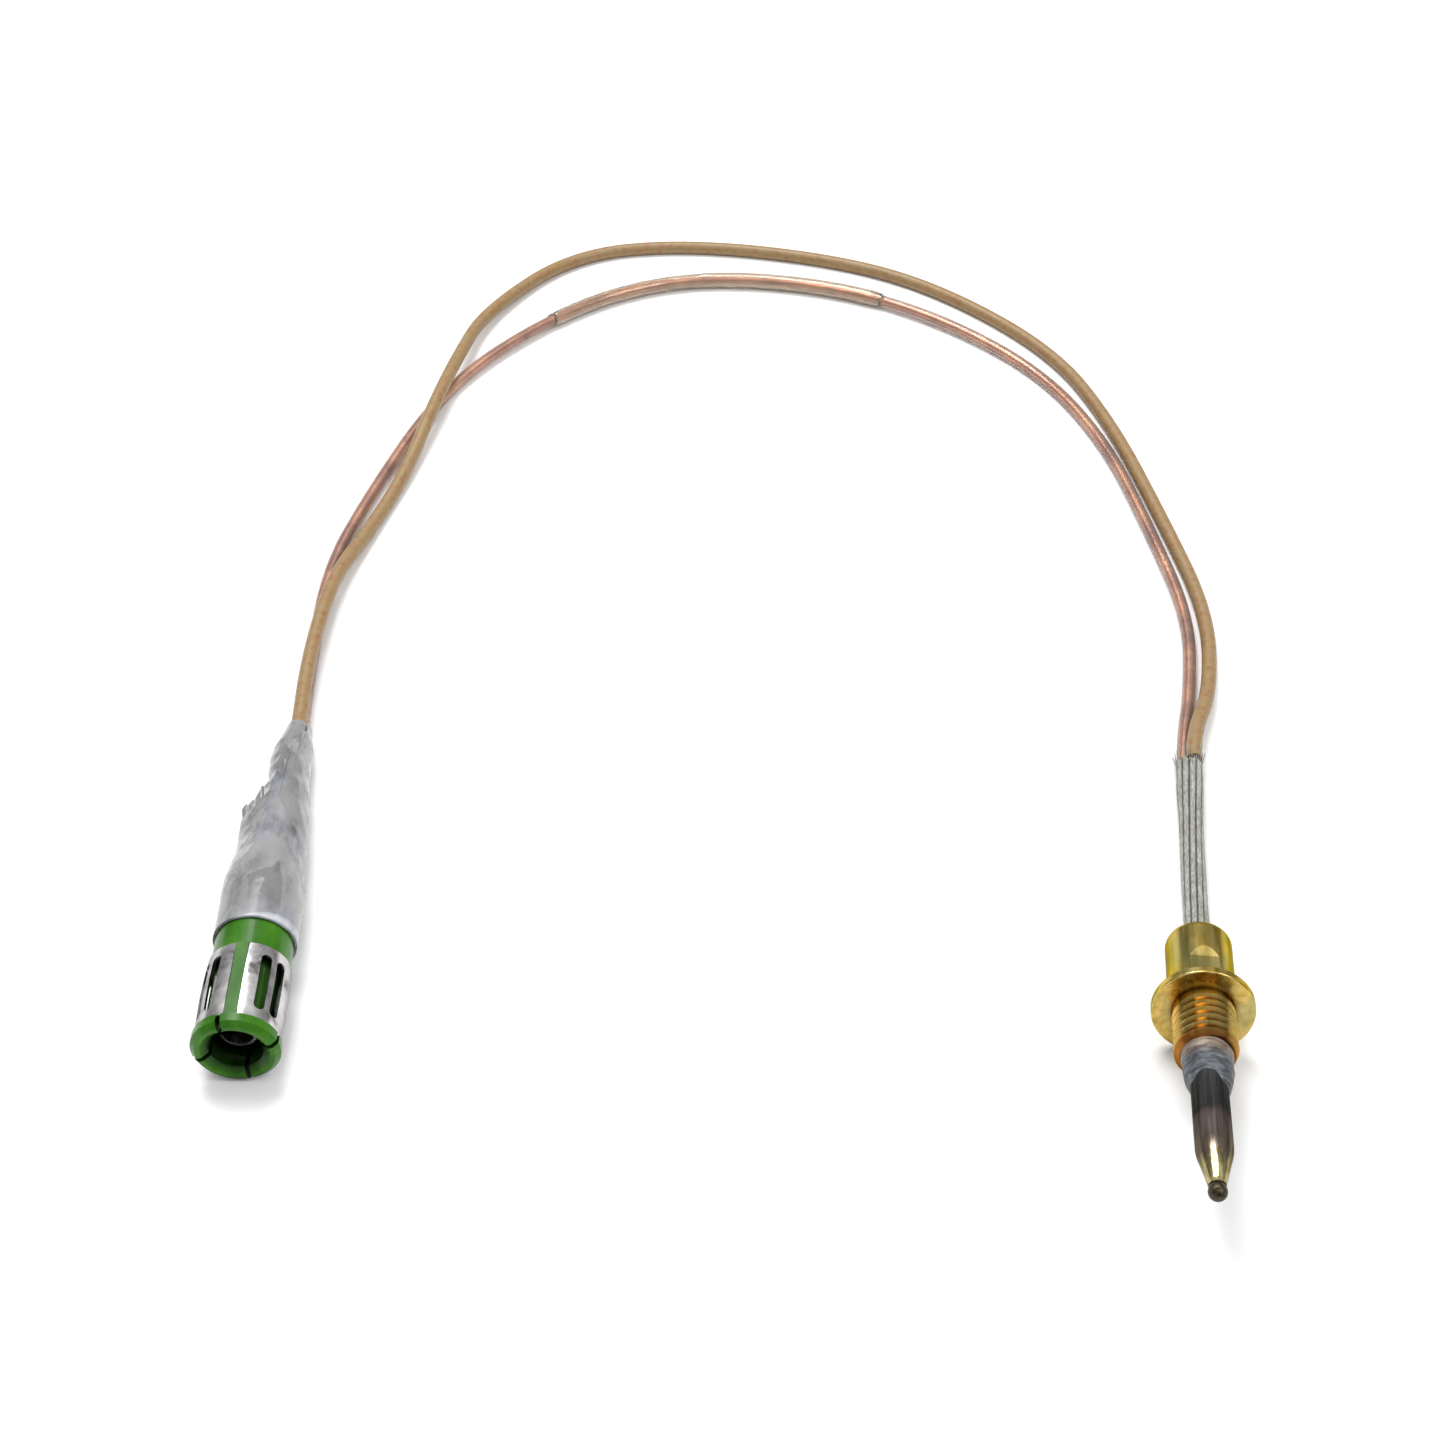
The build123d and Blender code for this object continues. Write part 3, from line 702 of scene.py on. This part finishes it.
def film_material():
    """Semi-opaque crumpled grey film: flat patches between folds in painted shades of grey, some lilac or
    blue, painted shade and highlight along the creases, white by the collar.
    """
    material, tree, surface = shader("film_crumpled")
    vector = place_nodes(tree, 1.0, (420.0, 190.0, 420.0), ALONG_PLUG)
    cells = tree.nodes.new("ShaderNodeTexVoronoi")
    cells.inputs["Scale"].default_value = 1.0
    tree.links.new(vector, cells.inputs["Vector"])
    patch = tree.nodes.new("ShaderNodeSeparateXYZ")
    tree.links.new(cells.outputs["Color"], patch.inputs["Vector"])
    tints = noise(tree, place_nodes(tree, 210, (1.0, 0.6, 1.0), ALONG_PLUG), 3.0)
    creases = noise(tree, place_nodes(tree, 620, (1.0, 0.45, 1.0), ALONG_PLUG), 6.0, 0.6)
    # Painted shade: flat patches in different greys stand for crumpled facets lit unevenly.
    grey = ramp(
        tree,
        patch.outputs["X"],
        [
            (0.0, (0.19, 0.19, 0.192)),
            (0.5, (0.245, 0.245, 0.247)),
            (1.0, (0.30, 0.30, 0.30)),
        ],
    )
    tinted = ramp(tree, patch.outputs["Y"], [(0.0, (0.235, 0.245, 0.28)), (1.0, (0.33, 0.32, 0.37))])
    colour = blend_colours(tree, spread(tree, tints, 0.0, 0.8, 0.54, 0.64), grey, tinted)
    # Painted shade and highlight: darker in the crease troughs and brighter on their ridges, following the
    # bump.
    crease_shade_and_highlight = ramp(
        tree,
        creases,
        [
            (0.32, (0.62, 0.62, 0.62)),
            (0.50, WHITE),
            (0.72, (1.12, 1.12, 1.12)),
        ],
    )
    colour = multiplied(tree, colour, crease_shade_and_highlight)
    station = station_socket(tree, tuple(plug_dir + plug_side * HEM_SLANT), tuple(PLUG_NOSE))
    hem = spread(tree, station, 0.0, 1.0, -14.4 * MM, -13.6 * MM)
    rim = ramp(tree, hem, [(0.15, WHITE), (0.45, (0.30, 0.30, 0.32)), (0.62, WHITE)])
    colour = multiplied(tree, colour, rim)
    pale = ramp(tree, creases, [(0.30, (0.24, 0.25, 0.28)), (0.60, (0.55, 0.57, 0.61))])
    tree.links.new(blend_colours(tree, hem, colour, pale), surface.inputs["Base Color"])
    surface.inputs["Transmission Weight"].default_value = 0.12
    surface.inputs["IOR"].default_value = 1.45
    tree.links.new(spread(tree, tints, 0.12, 0.32), surface.inputs["Roughness"])
    bump(tree, surface, creases, 0.4, 9.0e-5)
    return material


# ---- plug ----
def green_material():
    """Moulded green plastic, glossy, with faint flow marks, and painted shade inside the bore and in creases
    and recesses.
    """
    material, tree, surface = shader("green_moulded")
    flow = noise(tree, place_nodes(tree, 420, (1.0, 0.35, 1.0), ALONG_PLUG), 4.0)
    colour = ramp(
        tree,
        flow,
        [
            (0.30, (0.018, 0.095, 0.003)),
            (0.55, (0.036, 0.150, 0.005)),
            (0.75, (0.062, 0.205, 0.010)),
        ],
    )
    # Painted shade: the inside of the bore darkened towards the axis.
    radius = radius_socket(tree, tuple(plug_dir), tuple(in_plug(4.25, 0.0)))
    bore = spread(tree, radius, 0.0, 1.0, 2.62 * MM, 3.35 * MM)
    painted_bore_shade = ramp(
        tree,
        bore,
        [
            (0.0, (0.10, 0.14, 0.10)),
            (0.85, (0.72, 0.76, 0.72)),
            (1.0, WHITE),
        ],
    )
    colour = multiplied(tree, colour, painted_bore_shade)
    # Painted shade: creases, slots and the mouth darkened by ambient occlusion.
    tree.links.new(shaded_creases(tree, colour, (0.03, 0.05, 0.03), 2.6 * MM), surface.inputs["Base Color"])
    tree.links.new(spread(tree, flow, 0.20, 0.34), surface.inputs["Roughness"])
    surface.inputs["Specular IOR Level"].default_value = 0.20
    surface.inputs["Subsurface Weight"].default_value = 0.04
    surface.inputs["Subsurface Radius"].default_value = (0.2 * MM, 0.6 * MM, 0.1 * MM)
    bump(tree, surface, flow, 0.2, 4.0e-5)
    return material


def nickel_material():
    """Nickel-plated spring sheet with fine scratches and dull smudges."""
    material, tree, surface = shader("nickel_plated")
    smudge = noise(tree, place_nodes(tree, 520), 4.0)
    scratches = noise(tree, place_nodes(tree, 1.0, (1.2e3, 9.0e3, 1.2e3), ALONG_PLUG), 3.0)
    colour = ramp(
        tree,
        smudge,
        [
            (0.28, (0.15, 0.14, 0.14)),
            (0.42, (0.50, 0.48, 0.49)),
            (0.70, (0.72, 0.70, 0.70)),
        ],
    )
    # Painted shade: darker in the slots and corners, by ambient occlusion.
    colour = shaded_creases(tree, colour, (0.10, 0.12, 0.09), 0.4 * MM)
    tree.links.new(colour, surface.inputs["Base Color"])
    surface.inputs["Metallic"].default_value = 1.0
    surface.inputs["Specular Tint"].default_value = (0.45, 0.45, 0.45, 1.0)
    tree.links.new(spread(tree, smudge, 0.14, 0.30), surface.inputs["Roughness"])
    bump(tree, surface, scratches, 0.25, 8.0e-6)
    return material


def dull_metal_material(name, dark, light):
    """Plain drawn or soldered metal for the small inner pieces."""
    material, tree, surface = shader(name)
    grain = noise(tree, place_nodes(tree, 1500))
    tree.links.new(ramp(tree, grain, [(0.3, dark), (0.7, light)]), surface.inputs["Base Color"])
    surface.inputs["Metallic"].default_value = 1.0
    tree.links.new(spread(tree, grain, 0.28, 0.48), surface.inputs["Roughness"])
    bump(tree, surface, grain, 0.3, 2.0e-5)
    return material


solder = dull_metal_material("solder_dull", (0.42, 0.42, 0.41), (0.66, 0.66, 0.65))
alloy = dull_metal_material("core_alloy_drawn", (0.34, 0.32, 0.29), (0.58, 0.55, 0.50))
ferrule = dull_metal_material("ferrule_brass", (0.45, 0.33, 0.13), (0.68, 0.52, 0.24))
fibre = glass_fibre_material()
varnish = varnish_material()
copper = copper_material()
braze = braze_material()
film = film_material()
sheath = sheath_material("sheath_clear", (0.78, 0.64, 0.57), 0.88)
guard = sheath_material("guard_clear", (0.92, 0.80, 0.68), 0.93)
nickel = nickel_material()

FINISHES = {
    "brass_body": brass_material(),
    "sensor_tube": tube_material(),
    "hot_junction_bead": bead_material(),
    "braze_collar": braze,
    "core_wire": alloy,
    "core_insulator": fibre,
    "core_joint_ferrule": ferrule,
    "joint_insulator": fibre,
    "copper_lead_joint": solder,
    "glass_fibre_sleeve": fibre,
    "yellow_lead_conductor": alloy,
    "yellow_lead_insulation": varnish,
    "copper_lead_conductor": copper,
    "copper_lead_sheath": sheath,
    "clear_guard_sleeve": guard,
    "clear_sleeve": film,
    "connector_housing": green_material(),
    "contact_shell": nickel,
    "centre_contact": nickel,
    "centre_contact_solder": solder,
    "shell_solder_joint": solder,
}
for name, material in FINISHES.items():
    mesh = nodes[name].data
    mesh.materials.clear()
    mesh.materials.append(material)


def add_lead(name, route, radius, material, node):
    """A smooth round lead that stands for one CAD node."""
    piece = spline_object(name, route, radius)
    piece.data.materials.append(material)
    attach(piece, "root")
    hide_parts(node)
    return piece


yellow_lead = add_lead(
    "yellow_lead", YELLOW_JACKET, YELLOW_RADIUS, varnish, "yellow_lead_insulation"
)
yellow_core = add_lead(
    "yellow_core", YELLOW_CORE, CORE_RADIUS, alloy, "yellow_lead_conductor"
)
copper_lead = add_lead(
    "copper_lead", COPPER_JACKET, COPPER_RADIUS, sheath, "copper_lead_sheath"
)
copper_core = add_lead(
    "copper_core", COPPER_CORE, CORE_RADIUS, copper, "copper_lead_conductor"
)


GUARD_GAP = 0.04                # between the sheath and the guard sleeve, mm
GUARD_THIN = 0.02               # its wall at the very rim, mm
GUARD_MEAN = 1.03               # its usual outer radius, mm
GUARD_LIMIT = 1.05              # and the largest, mm
GUARD_RIM = 1.6                 # run over which the rim thins, mm
GUARD_TEAR = 2.2                # reach of the torn ends, mm
GUARD_LAYER_END = 0.52          # share of the run where the second layer stops
GUARD_LAYER = 0.10              # that layer's thickness, mm
GUARD_COLUMNS = 40


def add_guard_sleeve():
    """Loose clear sleeve on the copper lead: ragged ends, and one layer that stops half way."""
    frames = line_frames(route_line(GUARD))
    total = frames[-1][3]
    bore = COPPER_RADIUS / MM + GUARD_GAP

    def corners(frame, angle):
        """Outer and inner corner of the sleeve."""
        place, side, up, run = frame
        share = run / total
        layer = 0.0 if share < GUARD_LAYER_END else -GUARD_LAYER
        ripple = 0.05 * ring_noise(angle, 1.4, 0.9 * run)
        tear = GUARD_TEAR * ragged(angle, 3.0, 1.6) * max(0.0, 1.0 - 6.0 * share)
        tear -= GUARD_TEAR * ragged(angle, 9.0, 1.6) * max(0.0, 6.0 * share - 5.0)
        along = side.cross(up) * (-tear * MM)
        outward = side * math.cos(angle) + up * math.sin(angle)
        edge = min(1.0, share * total / GUARD_RIM, (1.0 - share) * total / GUARD_RIM)
        full = min(GUARD_LIMIT, GUARD_MEAN + layer + ripple)
        radius = bore + GUARD_THIN + (full - bore - GUARD_THIN) * edge
        return place + along + outward * (radius * MM), place + along + outward * (bore * MM)

    skin = Skin()
    skin.tube(frames, GUARD_COLUMNS, corners)
    return skin.build("guard_sleeve", guard, "clear_guard_sleeve")


guard_sleeve = add_guard_sleeve()


# ---- white glass-fibre sleeve: ribs along it, and a spread, frayed open end ----
SLEEVE = [
    in_probe(0.0, 0.0, -7.3),
    above_table(0.0, 14.5, 2.437),
    above_table(0.0, 24.0, 1.6),
    above_table(0.0, 37.5, 1.6),
]
SLEEVE_FLARE = (20.5, 26.5)     # run where the mouth starts and ends spreading, mm
SLEEVE_RADIUS = 1.3
SLEEVE_SPREAD = 0.16            # growth of the radius at the mouth, mm
SLEEVE_BORE = 0.90
SLEEVE_COLUMNS = 144
RIBS = 11
RIB_DEPTH = 0.22                # groove depth as a share of the radius
RIB_GROOVE = 0.36               # groove width, where a smaller number is narrower
RIB_TWIST = 0.02                # radians for each millimetre of run


def smooth_share(position, low, high):
    """Share of the way from low to high, eased at both ends."""
    share = min(1.0, max(0.0, (position - low) / (high - low)))
    return share * share * (3.0 - 2.0 * share)


def sleeve_radii(run, angle):
    """Outer and inner radius of the sleeve, in millimetres, at a run along it."""
    flare = smooth_share(run, *SLEEVE_FLARE)
    groove = math.sin(RIBS * (angle + RIB_TWIST * run) / 2.0)
    outside = SLEEVE_RADIUS + SLEEVE_SPREAD * flare
    fuzz = 0.03 * ring_noise(angle, 5.0, 1.1 * run)
    ribbed = outside * (1.0 - RIB_DEPTH * math.exp(-((groove / RIB_GROOVE) ** 2)))
    return ribbed + fuzz - 0.03, SLEEVE_BORE + 0.2 * flare


def add_glass_sleeve():
    """The ribbed sleeve with its ragged rim."""
    frames = line_frames(route_line(SLEEVE))
    total = frames[-1][3]

    def corners(frame, angle):
        """Outer and inner corner of the sleeve, never below the table."""
        place, side, up, run = frame
        torn = 0.9 * ragged(angle, 5.0, 3.5) * max(0.0, (run - total + 2.0) / 2.0)
        along = side.cross(up) * (torn * MM)
        outward = side * math.cos(angle) + up * math.sin(angle)
        pair = [place + along + outward * (radius * MM) for radius in sleeve_radii(run, angle)]
        for corner in pair:
            corner.z = max(corner.z, table_z + 0.01 * MM)
        return pair

    skin = Skin()
    skin.tube(frames, SLEEVE_COLUMNS, corners)
    skin.build("glass_sleeve", fibre, "glass_fibre_sleeve")


STRANDS = 34
STRAND_RADIUS = 0.035 * MM


def add_frayed_ends():
    """Loose ends of glass fibre round the sleeve's mouth."""
    curve = bpy.data.curves.new("frayed_ends", "CURVE")
    curve.dimensions = "3D"
    curve.bevel_depth = STRAND_RADIUS
    curve.bevel_resolution = 2
    curve.use_fill_caps = True
    mouth = SLEEVE[-1]
    for index in range(STRANDS):
        angle = 2 * math.pi * index / STRANDS
        stray = perlin.noise(Vector((7.3 * index, 1.7, 0.4)))
        reach = 0.9 + 0.9 * abs(stray)
        path = ((1.30, -0.9), (1.46, 0.2), (1.56 + 0.4 * stray, reach))
        spline = curve.splines.new("NURBS")
        spline.points.add(2)
        for place, (radius, ahead) in zip(spline.points, path):
            x = mouth.x + radius * MM * math.cos(angle)
            z = mouth.z + radius * MM * math.sin(angle + 0.2 * stray)
            place.co = (x, mouth.y + ahead * MM, max(z, table_z + 0.05 * MM), 1.0)
        spline.order_u = 3
        spline.use_endpoint_u = True
    piece = bpy.data.objects.new("frayed_ends", curve)
    bpy.context.scene.collection.objects.link(piece)
    piece.data.materials.append(fibre)
    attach(piece, "root")


add_glass_sleeve()
add_frayed_ends()

# ---- braze collar: smeared filler whose edge runs further along the right and the underside ----
# reach of its front edge at each angle in degrees, and its outer radius at each share of the reach
BRAZE_START = 6.3
BRAZE_BORE = 1.72
BRAZE_THINNEST = 1.73
BRAZE_EDGE = (
    (0.0, 5.3),
    (50.0, 4.9),
    (85.0, 3.7),
    (115.0, 3.6),
    (165.0, 4.5),
    (250.0, 4.7),
    (360.0, 5.3),
)
BRAZE_RADII = ((0.0, 2.45), (0.35, 2.32), (0.65, 2.22), (0.86, 1.98), (1.0, 1.73))
BRAZE_ROWS = 44
BRAZE_COLUMNS = 120


def along_table(table, position):
    """Value between the rows of a table at a position, by smooth steps."""
    for (low, first), (high, second) in zip(table, table[1:]):
        if position <= high:
            share = max(0.0, (position - low) / (high - low))
            return first + (second - first) * share * share * (3.0 - 2.0 * share)
    return table[-1][1]


def braze_corners(row, angle):
    """Outer and inner corner of the collar's lumpy layers."""
    share = row / BRAZE_ROWS
    reach = along_table(BRAZE_EDGE, math.degrees(angle)) * share
    lump = ring_noise(angle, 2.2, 0.9 * reach)
    fold = math.sin(2 * math.pi * reach / 0.95 + 3.0 * lump + 1.2 * math.cos(angle))
    swell = (0.09 * lump + 0.05 * fold) * math.sin(math.pi * share)
    radius = max(BRAZE_THINNEST, along_table(BRAZE_RADII, share) + swell)
    return [
        in_probe(size * math.cos(angle), size * math.sin(angle), BRAZE_START + reach)
        for size in (radius, BRAZE_BORE)
    ]


def add_braze():
    """The collar of filler round the tube."""
    skin = Skin()
    skin.tube(range(BRAZE_ROWS + 1), BRAZE_COLUMNS, braze_corners)
    skin.build("braze_smear", braze, "braze_collar")


add_braze()

# ---- clear film sleeve: a crumpled inner layer and an outer wrap torn off in steps on the left ----
FILM_START = 13.6
FILM_END = 46.0
FILM_WALL = 0.08
FILM_OFFSETS = (-0.07, 0.08)    # inner layer and outer wrap, from the sleeve's section
FILM_ROWS = 110
FILM_COLUMNS = 132
FILM_WHOLE = 45.9               # an edge beyond this station isn't torn
FILM_LIFTED = 45.0              # an edge short of this station stands off
# station behind the nose, half width, half height, centre height above the table
FILM = (
    (13.6, 4.0, 4.0, 4.25),
    (18.0, 3.95, 4.0, 4.25),
    (29.0, 3.1, 3.2, 3.5),
    (34.0, 2.6, 2.85, 3.05),
    (38.0, 2.05, 2.5, 2.7),
    (42.0, 1.85, 2.25, 2.35),
    (46.0, 1.25, 2.0, 2.05),
)
# angle in degrees and the station where the outer wrap is torn off
FILM_TEAR = (
    (0.0, 46.0), (40.0, 46.0), (45.0, 44.2), (62.0, 43.8), (66.0, 41.6), (84.0, 41.2), (88.0, 38.0),
    (104.0, 37.4), (108.0, 33.8), (122.0, 33.4), (126.0, 31.8), (214.0, 31.6), (236.0, 46.0), (360.0, 46.0),
)
# station and how far the left side is pulled in
FILM_INNER_PULL = (
    (13.6, 0.0), (31.0, -0.10), (37.0, -0.15), (38.5, 0.20), (41.0, 0.60), (43.0, 0.35), (46.0, 0.50),
)
FILM_OUTER_PULL = ((13.6, 0.0), (24.0, 0.30), (31.5, 0.75), (36.0, 0.25), (41.0, 0.60), (46.0, 0.55))


def film_point(station, angle, stand_off, pulls):
    """Point on the film at a station behind the nose, standing off its section."""
    half_width, half_height, height = (
        along_table([(row[0], row[part]) for row in FILM], station) for part in (1, 2, 3)
    )
    free = min(1.0, max(0.0, (station - 16.0) / 4.0)) * min(1.0, max(0.0, (47.5 - station) / 4.0))
    seed = Vector(
        (0.55 * half_width * math.cos(angle), 0.42 * station, 0.55 * half_height * math.sin(angle))
    )
    fold = 1.0 - 2.4 * abs(perlin.noise(seed))
    crease = 1.0 - 2.4 * abs(perlin.noise(seed * 2.3 + Vector((5.0, 0.0, 0.0))))
    crumple = free * (0.075 * fold + 0.03 * crease - 0.04)
    pull = along_table(pulls, station) * free * max(0.0, -math.cos(angle))
    across = (half_width + stand_off + crumple) * math.cos(angle) - pull
    rise = height + (half_height + stand_off + crumple) * math.sin(angle)
    point = PLUG_NOSE - plug_dir * (station * MM) + plug_side * (across * MM)
    return Vector((point.x, point.y, table_z + max(rise, 0.02) * MM))


def add_film_layer(skin, stand_off, pulls, end, flare):
    """One layer of the film, from the collar to its rear edge. A torn edge stands off by the flare."""

    def corners(row, angle):
        """Outer and inner corner of the layer."""
        last = end(angle)
        station = FILM_START + (last - FILM_START) * row / FILM_ROWS
        lift = 0.0
        if last < FILM_LIFTED:
            near_edge = max(0.0, 1.0 - (last - station) / 1.3)
            lift = flare * near_edge * (ragged(angle, 11.0, 4.0) - 0.25)
        return [
            film_point(station, angle, stand_off + lift - depth, pulls) for depth in (0.0, FILM_WALL)
        ]

    skin.tube(range(FILM_ROWS + 1), FILM_COLUMNS, corners)


def torn_end(angle):
    """Rear edge of the outer wrap, in steps with small teeth."""
    last = along_table(FILM_TEAR, math.degrees(angle))
    return last if last > FILM_WHOLE else last + 1.8 * (ragged(angle, 2.0, 9.0) - 0.5)


def straight_end(angle):
    """Rear edge of the inner layer, nearly straight."""
    return FILM_END - 0.5 * ragged(angle, 7.0, 2.0)


film_skin = Skin()
add_film_layer(film_skin, FILM_OFFSETS[0], FILM_INNER_PULL, straight_end, 0.0)
add_film_layer(film_skin, FILM_OFFSETS[1], FILM_OUTER_PULL, torn_end, 0.9)
film_sleeve = film_skin.build("film_sleeve", film, "clear_sleeve")
